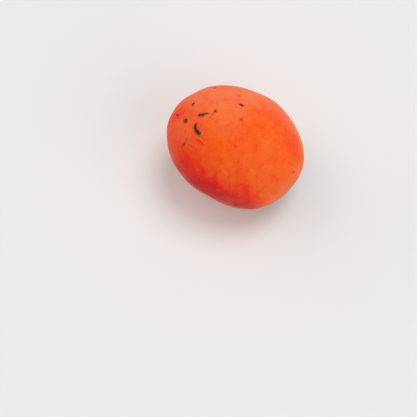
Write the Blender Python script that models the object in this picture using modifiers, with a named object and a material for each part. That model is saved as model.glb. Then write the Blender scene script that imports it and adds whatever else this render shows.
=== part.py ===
"""A ripe persimmon lying on its side: the fruit, its four-lobed calyx and the cut stub of its stem.

The fruit is an egg of rounded section. Its own axis runs from the middle of the body to the
blossom end (+Z of the body frame), and the calyx sits in a shallow hollow at the other end.
It leans on the shoulder beside the calyx, where its own weight has pressed a small flat.
The world origin is the middle of that flat, with +Z up.
"""
import math

import bmesh
import bpy
from mathutils import Matrix, Vector

MM = 0.001

# The fruit's body.
GIRTH_RADIUS = 30.0 * MM        # at the middle, across the axis
BLOSSOM_LENGTH = 40.4 * MM      # from the middle to the blossom end
STEM_LENGTH = 32.4 * MM         # from the middle to the stem end, before the hollow
BLOSSOM_POWER = 2.03            # 2 is an ellipse, more is squarer
STEM_POWER = 2.75
UNDERSIDE_POWER_LOSS = 0.6      # the shoulder it lies on is rounder than the others
UNDERSIDE_FOCUS = 2             # a higher power keeps that to a narrower strip
END_BLEND = 2.2                 # how quickly one end's curve gives way to the other's

# The hollow round the stem, and the lobes that the fruit shows beside it.
HOLLOW_DEPTH = 3.2 * MM
HOLLOW_RADIUS = 9.0 * MM
HOLLOW_POWER = 3.5
FRUIT_LOBES = 4
FRUIT_LOBE_HEIGHT = 0.35 * MM
FRUIT_LOBE_TURN = math.radians(25)

# The blossom end: a faint dimple with the dry tip of the style standing in it.
DIMPLE_DEPTH = 0.5 * MM
DIMPLE_RADIUS = 5.0 * MM
STYLE_HEIGHT = 0.9 * MM
STYLE_RADIUS = 0.8 * MM

# Low swellings and dents of the skin: degrees from the blossom end, degrees around the axis
# from the underside, spread in degrees, height in millimetres.
SWELLINGS = [
    (127, 222, 16, -1.1),
    (95, 245, 15, 1.0),
    (144, 168, 15, 0.9),
    (136, 108, 11, -0.5),
    (84, 75, 11, -0.6),
    (26, 278, 9, -0.6),
    (17, 10, 9, 0.4),
    (88, 0, 30, 1.0),
]

# How the fruit lies: its axis rises from the table to the blossom end.
LEAN = math.radians(36.8)
HEADING = math.radians(163.0)
BODY_CENTRE = Vector((-2.6, 1.4, 29.4)) * MM
FLAT_BLEND = 0.8 * MM           # the flat runs into the round over this height

# The calyx.
LOBE_TURN = [112.0, 204.0, 292.0, 44.0]         # degrees around the axis, from the underside
LOBE_REACH = [16.0, 16.6, 19.8, 16.0]           # millimetres from the axis to each tip
LOBE_CURL = [0.35, 0.3, 3.6, 0.3]               # millimetres that each tip stands off the skin
NOTCH_REACH = 8.6 * MM
LOBE_POWER = 2.3
LOBE_ROUNDNESS = 0.5
TIP_POINT = 1.3 * MM
TIP_POINT_WIDTH = 10.0          # degrees
RAGGED_EDGE = 0.35 * MM
RAGGED_WAVES = [                # waves around the edge, phase, share of the raggedness
    (17, 0.6, 1.0),
    (29, 2.1, 0.6),
]
CRUSHED_SHARE = 0.2             # how much shorter the lobes are where the fruit lies on them
CRUSHED_FOCUS = 4
CURL_WIDTH = 30.0               # degrees either side of a lobe's middle that curl with it
CURL_POWER = 1.7                # above 1, most of the curl is near the tip
CALYX_SEAT = 29.5 * MM          # from the middle of the body to the calyx, along the axis
CALYX_THICKNESS = 0.8 * MM
CALYX_GAP = 0.42 * MM           # from the skin to the calyx
RUFFLE_HEIGHT = 0.75 * MM
RUFFLES = 9
RUFFLE_MIDDLE = 0.62            # shares of the reach, where the ruffles are highest and how far they run
RUFFLE_SPREAD = 0.26
RUFFLE_DRIFTS = 3               # the ruffles are closer together in this many places
RUFFLE_DRIFT = 1.9
RUFFLE_SLANT = 5.0              # how far round they turn on the way out
CALYX_DISC = 6.5 * MM           # the stiff middle, which isn't ruffled
DISC_POWER = 4.0

# The stub of the stem.
STUB_BASE_RADIUS = 4.2 * MM
STUB_NECK_RADIUS = 2.4 * MM
STUB_END_RADIUS = 3.1 * MM
STUB_LENGTH = 7.5 * MM
STUB_COLLAR = 1.2 * MM          # height of the collar that it grows from
STUB_FLARE_POWER = 2            # above 1, it widens mostly near the cut
STUB_CUT = math.radians(17)     # tilt of the cut at its end
STUB_GAP = 0.3 * MM

# Facets.
FRUIT_COLUMNS = 72
FRUIT_RINGS = 46
RING_CROWDING = 0.3             # rings are drawn closer towards the two ends
CALYX_COLUMNS = 80
CALYX_RINGS = 9
STUB_COLUMNS = 20
STUB_ROWS = 10
WELD_DISTANCE = 0.01 * MM

# Colours, roughness.
SKIN_COLOUR = (0.880, 0.114, 0.027)
SKIN_ROUGHNESS = 0.32
CALYX_COLOUR = (0.105, 0.046, 0.030)
CALYX_ROUGHNESS = 0.85
STUB_COLOUR = (0.150, 0.085, 0.048)
STUB_ROUGHNESS = 0.75


def clear_scene():
    for item in list(bpy.data.objects):
        bpy.data.objects.remove(item, do_unlink=True)


def make_collection(name):
    collection = bpy.data.collections.new(name)
    bpy.context.scene.collection.children.link(collection)
    return collection


def make_material(name, colour, roughness):
    material = bpy.data.materials.new(name)
    material.use_nodes = True
    shader = material.node_tree.nodes["Principled BSDF"]
    shader.inputs["Base Color"].default_value = (*colour, 1.0)
    shader.inputs["Roughness"].default_value = roughness
    shader.inputs["Metallic"].default_value = 0.0
    material.diffuse_color = (*colour, 1.0)
    return material


def add_object(name, mesh, collection, material, parent=None):
    item = bpy.data.objects.new(name, mesh)
    item.parent = parent
    mesh.materials.append(material)
    mesh.shade_smooth()
    collection.objects.link(item)
    return item


def direction(polar, around):
    """The unit direction at an angle from the blossom end and an angle around the axis."""
    return Vector((
        math.sin(polar) * math.cos(around),
        math.sin(polar) * math.sin(around),
        math.cos(polar),
    ))


def bell(value, width, power=2.0):
    """1 in the middle, falling to nothing past the width."""
    return math.exp(-abs(value / width) ** power)


def facing_underside(around, focus):
    """1 along the underside of the fruit, falling to 0 along the opposite side."""
    return (0.5 + 0.5 * math.cos(around)) ** focus


def skin_radius(polar, around):
    """How far the skin is from the middle of the body, along one direction."""
    along, across = math.cos(polar), math.sin(polar)
    to_blossom = 0.5 + 0.5 * math.tanh(END_BLEND * along)
    to_stem = 1.0 - to_blossom
    length = BLOSSOM_LENGTH * to_blossom + STEM_LENGTH * to_stem
    underside = facing_underside(around, UNDERSIDE_FOCUS)
    stem_power = STEM_POWER - UNDERSIDE_POWER_LOSS * underside
    power = BLOSSOM_POWER * to_blossom + stem_power * to_stem
    radius = ((across / GIRTH_RADIUS) ** power + (abs(along) / length) ** power) ** (-1.0 / power)

    lobes = math.cos(FRUIT_LOBES * (around - FRUIT_LOBE_TURN))
    radius += FRUIT_LOBE_HEIGHT * lobes * across ** 2 * to_stem

    place = direction(polar, around)
    for from_blossom, turned, spread, height in SWELLINGS:
        middle = direction(math.radians(from_blossom), math.radians(turned))
        radius += height * MM * bell(place.angle(middle), math.radians(spread))

    off_axis = GIRTH_RADIUS * across
    if along < 0.0:
        radius -= HOLLOW_DEPTH * bell(off_axis, HOLLOW_RADIUS, HOLLOW_POWER)
    else:
        radius -= DIMPLE_DEPTH * bell(off_axis, DIMPLE_RADIUS)
        radius += STYLE_HEIGHT * bell(off_axis, STYLE_RADIUS)
    return radius


def press_flat(height):
    """The height of a point of the skin once the table has pressed it, with a soft edge."""
    if height <= -FLAT_BLEND:
        return 0.0
    if height >= FLAT_BLEND:
        return height
    return (height + FLAT_BLEND) ** 2 / (4.0 * FLAT_BLEND)


def body_matrix():
    """From the body frame, with the blossom end at +Z, to the world."""
    turn = Matrix.Rotation(HEADING, 4, "Z") @ Matrix.Rotation(math.pi / 2 - LEAN, 4, "Y")
    return Matrix.Translation(BODY_CENTRE) @ turn


def make_fruit(collection):
    bm = bmesh.new()
    bmesh.ops.create_uvsphere(bm, u_segments=FRUIT_COLUMNS, v_segments=FRUIT_RINGS, radius=1.0)
    to_world = body_matrix()
    for vert in bm.verts:
        polar = math.acos(max(-1.0, min(1.0, vert.co.z)))
        polar -= RING_CROWDING * math.sin(2.0 * polar)
        around = math.atan2(vert.co.y, vert.co.x)
        point = to_world @ (direction(polar, around) * skin_radius(polar, around))
        point.z = press_flat(point.z)
        vert.co = point
    mesh = bpy.data.meshes.new("fruit")
    bm.to_mesh(mesh)
    bm.free()
    material = make_material("persimmon_skin", SKIN_COLOUR, SKIN_ROUGHNESS)
    return add_object("fruit", mesh, collection, material)


def nearest_lobe(around):
    """The number of the lobe at an angle around the axis, and the degrees from its middle."""
    turned = math.degrees(around)
    offsets = [(turned - middle + 180.0) % 360.0 - 180.0 for middle in LOBE_TURN]
    lobe = min(range(len(offsets)), key=lambda number: abs(offsets[number]))
    return lobe, offsets[lobe]


def lobe_half_width(lobe, offset):
    """Degrees from the lobe's middle to the notch on the side of the offset."""
    side = 1 if offset > 0 else -1
    other = (lobe + side) % len(LOBE_TURN)
    gap = (LOBE_TURN[other] - LOBE_TURN[lobe]) * side % 360.0
    return gap / 2.0


def calyx_reach(around):
    """How far from the axis the calyx ends: four broad lobes with narrow notches between."""
    lobe, offset = nearest_lobe(around)
    across = min(abs(offset) / lobe_half_width(lobe, offset), 1.0)
    fullness = (1.0 - across ** LOBE_POWER) ** LOBE_ROUNDNESS
    reach = NOTCH_REACH + (LOBE_REACH[lobe] * MM - TIP_POINT - NOTCH_REACH) * fullness
    reach += TIP_POINT * bell(offset, TIP_POINT_WIDTH)
    for waves, phase, share in RAGGED_WAVES:
        reach += RAGGED_EDGE * share * math.sin(waves * around + phase) * fullness
    return reach * (1.0 - CRUSHED_SHARE * facing_underside(around, CRUSHED_FOCUS))


def calyx_lift(off_axis, reach, around):
    """How far the dry calyx stands off the skin: close in the hollow, ruffled and curled outside."""
    lobe, offset = nearest_lobe(around)
    outward = max(0.0, (off_axis - NOTCH_REACH) / (reach - NOTCH_REACH + MM))
    curl = LOBE_CURL[lobe] * MM * outward ** CURL_POWER * bell(offset, CURL_WIDTH)
    drift = RUFFLE_DRIFT * math.sin(RUFFLE_DRIFTS * around)
    ruffle = 0.5 + 0.5 * math.sin(RUFFLES * around + drift + RUFFLE_SLANT * outward)
    ruffled = bell(off_axis - RUFFLE_MIDDLE * reach, RUFFLE_SPREAD * reach)
    ruffled *= 1.0 - bell(off_axis, CALYX_DISC, DISC_POWER)
    return CALYX_GAP + curl + RUFFLE_HEIGHT * ruffle * ruffled


def calyx_point(share, around):
    """A point of the calyx's inner face: a share of the way from the axis to its edge."""
    reach = calyx_reach(around)
    off_axis = reach * share
    polar = math.pi - math.atan2(off_axis, CALYX_SEAT)
    radius = skin_radius(polar, around) + calyx_lift(off_axis, reach, around)
    return direction(polar, around) * radius


def make_calyx(collection, body):
    bm = bmesh.new()
    spokes = [bm.verts.new((number / CALYX_RINGS, 0.0, 0.0)) for number in range(CALYX_RINGS + 1)]
    edges = [bm.edges.new(pair) for pair in zip(spokes, spokes[1:])]
    bmesh.ops.spin(
        bm,
        geom=spokes + edges,
        axis=(0, 0, 1),
        cent=(0, 0, 0),
        angle=math.tau,
        steps=CALYX_COLUMNS,
        use_merge=True,
    )
    bmesh.ops.remove_doubles(bm, verts=bm.verts, dist=WELD_DISTANCE)
    for vert in bm.verts:
        share = vert.co.length
        vert.co = calyx_point(share, math.atan2(vert.co.y, vert.co.x))
    # Triangles before the thickness, so that both faces of a waved lobe are alike.
    bmesh.ops.triangulate(bm, faces=bm.faces, quad_method="SHORT_EDGE")
    bmesh.ops.recalc_face_normals(bm, faces=bm.faces)
    outward = sum((face.normal for face in bm.faces), Vector())
    if outward.z > 0.0:
        bmesh.ops.reverse_faces(bm, faces=bm.faces)
    mesh = bpy.data.meshes.new("calyx")
    bm.to_mesh(mesh)
    bm.free()
    material = make_material("dry_calyx", CALYX_COLOUR, CALYX_ROUGHNESS)
    calyx = add_object("calyx", mesh, collection, material, body)
    thickness = calyx.modifiers.new("thickness", "SOLIDIFY")
    thickness.thickness = CALYX_THICKNESS
    thickness.offset = 1.0
    return calyx


def stub_profile():
    """The stub's outline from its cut end down to its base: a collar, a neck and a wider end."""
    profile = [(0.0, STUB_LENGTH)]
    for row in range(STUB_ROWS, -1, -1):
        height = STUB_LENGTH * row / STUB_ROWS
        collar = (STUB_BASE_RADIUS - STUB_NECK_RADIUS) * bell(height, STUB_COLLAR)
        flare = (STUB_END_RADIUS - STUB_NECK_RADIUS) * (height / STUB_LENGTH) ** STUB_FLARE_POWER
        profile.append((STUB_NECK_RADIUS + collar + flare, height))
    profile.append((0.0, 0.0))
    return profile


def make_stem_stub(collection, cutters, body):
    profile = [(radius, 0.0, height) for radius, height in stub_profile()]
    edges = [(number, number + 1) for number in range(len(profile) - 1)]
    mesh = bpy.data.meshes.new("stem_stub")
    mesh.from_pydata(profile, edges, [])
    material = make_material("dry_stem", STUB_COLOUR, STUB_ROUGHNESS)
    stub = add_object("stem_stub", mesh, collection, material, body)
    stub.rotation_euler = (math.pi, 0.0, 0.0)
    seat = skin_radius(math.pi, 0.0) + CALYX_GAP + CALYX_THICKNESS + STUB_GAP
    stub.location = (0.0, 0.0, -seat)

    turning = stub.modifiers.new("turning", "SCREW")
    turning.steps = STUB_COLUMNS
    turning.render_steps = STUB_COLUMNS
    turning.use_merge_vertices = True
    turning.merge_threshold = WELD_DISTANCE

    # The shears left the end cut at a slant.
    block_size = 4.0 * STUB_END_RADIUS
    bm = bmesh.new()
    bmesh.ops.create_cube(bm, size=block_size)
    block = bpy.data.meshes.new("slant_cut")
    bm.to_mesh(block)
    bm.free()
    cutter = bpy.data.objects.new("slant_cut", block)
    cutter.parent = stub
    cutter.rotation_euler = (0.0, STUB_CUT, 0.0)
    drop = STUB_END_RADIUS * math.tan(STUB_CUT)
    cutter.location = (0.0, 0.0, STUB_LENGTH - drop + 0.5 * block_size / math.cos(STUB_CUT))
    cutter.hide_render = True
    cutter.display_type = "WIRE"
    cutters.objects.link(cutter)

    slant = stub.modifiers.new("slant", "BOOLEAN")
    slant.operation = "DIFFERENCE"
    slant.object = cutter
    return stub


def main():
    clear_scene()
    parts = make_collection("persimmon")
    cutters = make_collection("cutters")
    body = bpy.data.objects.new("body_frame", None)
    body.matrix_world = body_matrix()
    parts.objects.link(body)
    make_fruit(parts)
    make_calyx(parts, body)
    make_stem_stub(parts, cutters, body)


main()
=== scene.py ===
"""The looks of a ripe persimmon on its side: waxy scarred skin, dry ruffled calyx, cut stem stub."""
import math

import bpy
import numpy as np
from mathutils import Matrix, Vector
from mathutils.bvhtree import BVHTree


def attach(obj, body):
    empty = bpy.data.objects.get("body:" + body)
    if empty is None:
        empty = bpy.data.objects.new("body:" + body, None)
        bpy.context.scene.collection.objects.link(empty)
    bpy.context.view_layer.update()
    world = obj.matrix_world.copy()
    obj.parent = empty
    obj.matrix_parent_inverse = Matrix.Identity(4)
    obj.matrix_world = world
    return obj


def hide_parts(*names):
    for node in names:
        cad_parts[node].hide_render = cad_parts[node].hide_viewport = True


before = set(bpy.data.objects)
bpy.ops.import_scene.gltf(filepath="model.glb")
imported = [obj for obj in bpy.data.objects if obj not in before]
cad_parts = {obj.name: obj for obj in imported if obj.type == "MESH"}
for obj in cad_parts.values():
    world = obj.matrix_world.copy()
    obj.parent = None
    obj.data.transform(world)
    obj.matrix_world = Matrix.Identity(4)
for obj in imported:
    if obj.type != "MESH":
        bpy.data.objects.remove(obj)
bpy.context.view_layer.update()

MM = 0.001

# The photograph: a square frame, seen from well above through a long lens.
PHOTO_PIXELS = 417
PHOTO_MIDDLE = PHOTO_PIXELS / 2
LENS_MM = 85.0
SENSOR_MM = 36.0
FOCAL_PIXELS = PHOTO_PIXELS * LENS_MM / SENSOR_MM
CAMERA_ELEVATION = math.radians(75)
CAMERA_DISTANCE = 512.0 * MM
FRUIT_PIXEL = (237.5, 148.1)    # where the middle of the fruit's body is in the frame

# The fruit's body, as in the solid that it replaces.
GIRTH_RADIUS = 30.0 * MM
BLOSSOM_LENGTH = 40.4 * MM
STEM_LENGTH = 32.4 * MM
BLOSSOM_POWER = 2.03
STEM_POWER = 2.75
UNDERSIDE_POWER_LOSS = 0.6
END_BLEND = 2.2
HOLLOW_DEPTH = 3.2 * MM
HOLLOW_RADIUS = 9.0 * MM
HOLLOW_POWER = 3.5
FRUIT_LOBES = 4
FRUIT_LOBE_HEIGHT = 0.35 * MM
FRUIT_LOBE_TURN = math.radians(25)
DIMPLE_DEPTH = 0.5 * MM
DIMPLE_RADIUS = 5.0 * MM
STYLE_HEIGHT = 0.9 * MM
STYLE_RADIUS = 0.8 * MM
# Swellings and hollows of the body, as degrees from the blossom end, degrees round the axis, spread
# in degrees, height in millimetres.
SWELLINGS = [
    (127, 222, 16, -1.1),
    (95, 245, 15, 1.0),
    (144, 168, 15, 0.9),
    (136, 108, 11, -0.5),
    (84, 75, 11, -0.6),
    (26, 278, 9, -0.6),
    (17, 10, 9, 0.4),
    (88, 0, 30, 1.0),
]
LEAN = math.radians(36.8)
HEADING = math.radians(163.0)
BODY_CENTRE = Vector((-2.6, 1.4, 29.4)) * MM
FLAT_BLEND = 0.8 * MM

# Low relief of the skin, finer than the solid's facets. Each swell has its height and size in
# millimetres, its seed, and a shift outwards as a share of its height.
SKIN_SWELLS = [
    (0.16, 13.0, 1, -0.8),
    (0.045, 4.5, 2, 0.0),
    (0.010, 1.3, 3, 0.0),
]
PLEAT_HEIGHT = 0.09 * MM
PLEAT_RING_RADIUS = 13.0 * MM
PLEAT_RING_WIDTH = 7.0 * MM
STYLE_RING_HEIGHT = 0.02 * MM
STYLE_RING_STEP = 0.45 * MM
STYLE_RINGS_RADIUS = 6.0 * MM
SCAR_DEPTH = 0.10 * MM
SCAR_LIP_HEIGHT = 0.03 * MM
CREASE_WIDTH = 0.45 * MM
CREASE_LIP_SHARE = 0.45

# The calyx, as in the solid that it replaces, but thinner, as a dry leaf is, and with lobes a little
# shorter, so that their crumpled edges stay inside the solid's reach.
# For each lobe: degrees round the axis, then reach and curl in millimetres.
LOBE_TURN = [112.0, 204.0, 292.0, 44.0]
LOBE_REACH = [14.6, 15.3, 19.0, 15.8]
LOBE_CURL = [0.35, 0.3, 3.6, 0.3]
NOTCH_REACH = 8.6 * MM
LOBE_POWER = 2.3
LOBE_ROUNDNESS = 0.5
TIP_POINT = 1.3 * MM
TIP_POINT_WIDTH = 10.0
RAGGED_EDGE = 0.35 * MM
CRUSHED_SHARE = 0.2
CURL_WIDTH = 30.0
CALYX_SEAT = 29.5 * MM
CALYX_GAP = 0.42 * MM
RUFFLE_HEIGHT = 0.75 * MM
RUFFLES = 9
CALYX_DISC = 6.5 * MM
LEAF_THICKNESS = 0.45 * MM
LEAF_EDGE_THICKNESS = 0.22 * MM
LEAF_MIDDLE_SWELL = 0.30 * MM
NIBBLE_DEPTH = 0.14 * MM
TEAR_DEPTH = 2.6 * MM
TEAR_LEVEL = 0.95
# Veins of each lobe, as slope across the lobe and strength.
VEIN_FAN = [(0.0, 1.0), (0.34, 0.8), (-0.36, 0.8), (0.68, 0.6), (-0.66, 0.6)]
VEIN_HALF_WIDTH = 0.34 * MM
VEIN_HEIGHT = 0.11 * MM
# Crumpling and rolling of the leaf beyond the disc that the stub sits on.
FREE_FROM = 5.6 * MM
FREE_OVER = 4.0 * MM
CRUMPLE_HEIGHT = 0.42 * MM
FINE_CRUMPLE_HEIGHT = 0.16 * MM
ROLL_HEIGHT = 0.75 * MM
ROLL_START = 0.78
MOST_CRUMPLE = 0.55 * MM
LEAST_CRUMPLE = -0.26 * MM
UNDERSIDE_CRUMPLE_LOSS = 0.85

# The stub of the stem, as in the solid that it replaces.
STUB_BASE_RADIUS = 4.2 * MM
STUB_NECK_RADIUS = 2.4 * MM
STUB_END_RADIUS = 3.1 * MM
STUB_LENGTH = 7.5 * MM
STUB_COLLAR = 1.2 * MM
STUB_CUT = math.radians(17)
STUB_CUT_RISE = STUB_END_RADIUS * math.tan(STUB_CUT)
STUB_SEAT_GAP = (0.42 + 0.8 + 0.3) * MM
STUB_INSET = 0.10 * MM
STUB_FLUTE_HEIGHT = 0.07 * MM
STUB_RING_HEIGHT = 0.05 * MM
STUB_RING_STEP = 0.24 * MM
STUB_RINGS_LENGTH = 2.2 * MM
# Lumps of the side, as height and size in millimetres and seed, and how far they are set inwards.
STUB_LUMPS = [(0.14, 1.6, 41), (0.06, 0.6, 42)]
STUB_LUMP_INSET = 0.12
STUB_CUT_DISH = 0.22 * MM
STUB_CUT_ROUGHNESS = 0.05 * MM
STUB_PITH_DEPTH = 0.35 * MM

# Facets of the fine meshes, and how far the skin's rings crowd towards its ends.
RING_CROWDING = 0.3
SKIN_COLUMNS = 448
SKIN_RINGS = 216
LEAF_COLUMNS = 420
LEAF_RINGS = 60
STUB_COLUMNS = 96
STUB_ROWS = 60
STUB_CUT_RINGS = 10

# Marks on the skin that the photograph shows, as start pixel, end pixel, width in pixels, strength.
# A mark shorter than SHORT_MARK is a dot, and isn't wavered.
SCARS = [
    ((195.6, 124.5), (194.9, 127.4), 1.8, 1.0),
    ((194.9, 127.6), (197.0, 131.0), 2.7, 1.0),
    ((197.0, 131.0), (199.0, 133.7), 2.7, 1.0),
    ((199.6, 115.9), (200.6, 114.6), 2.2, 1.0),
    ((200.8, 114.6), (203.4, 114.3), 1.9, 1.0),
    ((203.1, 114.6), (202.9, 116.0), 1.8, 0.95),
    ((203.6, 114.2), (205.8, 113.6), 1.9, 1.0),
    ((205.8, 113.6), (208.0, 113.3), 1.0, 0.9),
    ((215.5, 110.5), (215.1, 111.3), 1.9, 0.95),
    ((214.4, 112.2), (212.6, 114.4), 1.0, 0.6),
    ((212.4, 114.6), (210.7, 116.5), 0.6, 0.5),
    ((185.5, 120.3), (185.7, 121.4), 3.8, 0.85),
    ((193.4, 103.4), (193.1, 105.0), 1.7, 0.95),
    ((241.0, 104.7), (242.2, 105.3), 2.4, 0.95),
    ((241.3, 119.3), (241.5, 119.6), 1.1, 0.75),
    ((214.4, 88.4), (215.6, 87.4), 1.5, 0.8),
    ((181.5, 147.6), (182.3, 146.2), 0.8, 0.5),
    ((182.8, 145.4), (184.3, 143.4), 1.5, 0.7),
    ((184.8, 142.8), (186.8, 138.8), 0.7, 0.45),
    ((185.3, 130.6), (185.5, 131.4), 1.1, 0.4),
    ((293.0, 172.4), (293.3, 172.2), 1.3, 0.75),
    ((234.4, 206.2), (236.6, 204.2), 1.9, 0.7),
]
RED_MARKS = [
    ((235.2, 145.6), (235.6, 146.0), 1.7, 1.0),
    ((238.0, 161.6), (238.2, 162.0), 1.3, 0.8),
    ((241.4, 119.4), (241.5, 119.8), 1.9, 1.0),
    ((240.4, 118.8), (239.2, 117.6), 1.0, 0.6),
    ((205.4, 130.4), (205.5, 130.5), 1.3, 0.8),
    ((209.4, 118.0), (209.6, 118.2), 1.1, 0.8),
    ((225.3, 98.4), (225.4, 98.6), 1.2, 0.7),
    ((237.8, 95.6), (238.6, 96.2), 1.2, 0.7),
    ((239.8, 95.0), (240.4, 97.0), 1.1, 0.7),
    ((196.3, 140.0), (199.2, 140.9), 1.5, 1.0),
    ((199.2, 140.9), (202.6, 143.6), 1.5, 0.9),
    ((200.8, 136.8), (203.2, 139.4), 1.1, 0.6),
    ((189.8, 145.4), (194.6, 148.2), 1.1, 0.6),
    ((194.0, 147.0), (197.0, 151.0), 1.2, 0.5),
    ((227.4, 125.2), (234.8, 123.4), 2.0, 0.35),
    ((229.0, 169.6), (228.6, 176.0), 0.9, 0.55),
    ((228.6, 176.0), (228.2, 180.6), 1.1, 0.65),
    ((228.2, 180.6), (224.6, 184.6), 1.2, 0.60),
    ((224.6, 184.6), (219.4, 188.4), 1.5, 0.55),
    ((228.8, 181.6), (229.6, 190.4), 1.2, 0.65),
    ((220.6, 169.6), (219.4, 173.4), 1.2, 0.4),
    ((221.0, 182.6), (225.6, 180.4), 0.9, 0.4),
    ((238.4, 172.6), (237.4, 178.4), 1.0, 0.3),
    ((243.0, 184.0), (247.0, 191.0), 1.6, 0.4),
    ((241.6, 198.0), (243.2, 201.0), 1.5, 0.6),
    ((236.6, 195.6), (237.6, 197.6), 1.2, 0.5),
    ((276.8, 178.8), (278.0, 179.6), 1.8, 0.5),
    ((265.4, 186.0), (259.0, 191.6), 2.2, 0.40),
    ((259.0, 191.6), (252.4, 198.6), 2.6, 0.40),
    ((275.4, 161.2), (276.0, 161.8), 1.2, 0.6),
    ((294.4, 150.6), (297.0, 147.4), 1.3, 0.4),
]
YELLOW_MARKS = [
    ((228.4, 101.4), (228.6, 101.8), 1.5, 1.0),
    ((230.4, 102.2), (230.6, 102.4), 1.4, 1.0),
    ((220.4, 105.4), (220.6, 105.8), 1.6, 1.0),
    ((222.2, 107.2), (222.4, 107.6), 1.5, 1.0),
    ((220.6, 108.4), (220.8, 108.6), 1.3, 0.9),
    ((224.4, 108.4), (224.6, 108.6), 1.3, 0.9),
    # These four lie along the creases: pale yellow, partly the skin's own and partly a painted
    # highlight on the creases' raised lips.
    ((197.4, 137.6), (201.0, 139.4), 1.1, 0.5),
    ((201.0, 139.4), (204.6, 143.4), 1.1, 0.5),
    ((189.6, 147.4), (194.2, 150.2), 1.0, 0.35),
    ((206.6, 124.6), (211.8, 129.2), 1.0, 0.4),
    ((223.0, 169.0), (227.4, 176.0), 3.0, 0.25),
    ((228.0, 182.6), (217.4, 190.0), 1.3, 0.30),
    ((231.0, 181.0), (231.6, 188.0), 1.6, 0.16),
    ((250.6, 168.0), (254.0, 174.0), 4.0, 0.25),
    ((265.8, 166.4), (272.0, 165.6), 1.0, 0.6),
    ((260.0, 184.4), (260.3, 184.6), 1.4, 0.7),
]
# Shallow creases, as start pixel, end pixel, depth in millimetres.
CREASES = [
    ((196.4, 139.6), (202.8, 143.8), 0.16),
    ((200.6, 136.6), (203.4, 139.6), 0.12),
    ((190.6, 147.2), (196.0, 151.0), 0.08),
    ((191.4, 139.6), (195.6, 143.8), 0.06),
    ((203.6, 141.4), (207.6, 146.6), 0.06),
    ((185.6, 145.0), (189.6, 150.2), 0.05),
    ((206.8, 124.6), (211.4, 129.6), 0.07),
    ((228.3, 172.0), (228.9, 180.0), 0.07),
    ((229.0, 183.0), (229.8, 190.0), 0.08),
]
# Wide soft stretches of blush and crimson, partly the fruit's own red and partly painted shadow at the
# lower left, and of paler skin, which is a painted sheen. Each as start pixel, end pixel, half width in
# millimetres, strength.
BLUSH_AND_SHADOW_STRETCHES = [
    ((170.5, 122.0), (176.0, 152.0), 8.0, 0.24),
    # These four, at the lower left, are partly painted shadow.
    ((191.0, 166.0), (194.0, 178.0), 8.5, 1.05),
    ((197.0, 163.0), (208.0, 183.0), 5.0, 1.25),
    ((192.0, 177.0), (212.0, 190.0), 14.0, 1.10),
    ((212.0, 190.0), (243.0, 203.0), 10.0, 0.85),
    ((286.0, 130.0), (292.0, 165.0), 9.0, 0.25),
    ((172.5, 121.0), (179.5, 117.5), 4.2, 0.75),
]
# Dark red, partly the fruit's own and partly painted shadow along the lower left edge.
CRIMSON_AND_SHADOW_STRETCHES = [
    ((181.0, 170.0), (191.5, 181.0), 7.5, 0.62),
    ((191.5, 181.0), (220.0, 199.0), 8.5, 0.80),
    ((220.0, 199.0), (245.0, 207.0), 6.5, 0.78),
]
# Paler, pinkish skin that is a painted sheen.
PAINTED_SHEEN_STRETCHES = [
    ((206.0, 99.0), (248.0, 94.0), 9.0, 0.95),
    ((212.0, 109.0), (240.0, 108.0), 7.0, 0.85),
    ((199.0, 109.0), (186.0, 136.0), 5.0, 0.3),
    ((264.0, 98.0), (291.0, 124.0), 5.0, 0.5),
    ((297.0, 172.0), (264.0, 203.0), 5.0, 0.55),
]
# How far the outlines of the stretches, marks and scars waver, and the size of the waves.
STRETCH_WAVER = 4.0 * MM
STRETCH_WAVE = 9.0 * MM
MARK_WAVER = 0.40 * MM
MARK_WAVE = 2.0 * MM
SCAR_WAVER = 0.28 * MM
SCAR_WAVE = 1.6 * MM
SHORT_MARK = 0.8 * MM
FAR_FROM_SCARS = -9.0 * MM
# Scars of the hidden sides, drawn at random with a fixed seed. Lengths and half widths are ranges in
# millimetres, and the span is how far towards the stem and blossom ends they lie, as cosines.
HIDDEN_SCARS = 30
HIDDEN_SCAR_SEED = 11
HIDDEN_SCAR_SPAN = (-0.86, 0.97)
LONG_SCAR_SHARE = 0.22
LONG_SCAR_LENGTHS = (2.0, 5.0)
LONG_SCAR_HALF_WIDTHS = (0.16, 0.42)
DOT_SCAR_LENGTHS = (0.1, 0.6)
DOT_SCAR_HALF_WIDTHS = (0.22, 0.75)
HIDDEN_SCAR_DARKNESS = (0.75, 1.0)

# Colours, as linear red, green, blue.
ORANGE = (0.880, 0.134, 0.010)
DEEP_ORANGE = (0.870, 0.094, 0.008)
# The blush's red, also used for painted shadow at the lower left.
BLUSH_AND_SHADOW = (0.860, 0.008, 0.003)
# A dark red, partly the fruit's own and partly painted shadow.
CRIMSON_AND_SHADOW = (0.450, 0.004, 0.001)
RED = (0.800, 0.012, 0.003)
VEIN_RED = (0.830, 0.030, 0.002)
YELLOW_ORANGE = (0.720, 0.180, 0.008)
PALE_ORANGE = (0.880, 0.165, 0.038)
# The pale of the wax bloom, also used for a painted sheen.
BLOOM_AND_SHEEN = (0.860, 0.330, 0.200)
YELLOW = (0.870, 0.240, 0.020)
SCAR = (0.028, 0.028, 0.032)
SCAR_RIM = (0.330, 0.020, 0.008)
CORK = (0.330, 0.120, 0.040)
STYLE = (0.030, 0.016, 0.012)
LEAF_DARK = (0.030, 0.012, 0.011)
LEAF_BROWN = (0.115, 0.045, 0.030)
LEAF_PINK = (0.260, 0.115, 0.085)
LEAF_TAN = (0.360, 0.225, 0.135)
LEAF_GREY = (0.170, 0.135, 0.115)
WOOD_DARK = (0.040, 0.022, 0.015)
WOOD = (0.150, 0.085, 0.050)
WOOD_PALE = (0.300, 0.205, 0.125)
FLOOR = (0.790, 0.790, 0.795)
FLOOR_DIM = (0.740, 0.740, 0.750)

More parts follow.
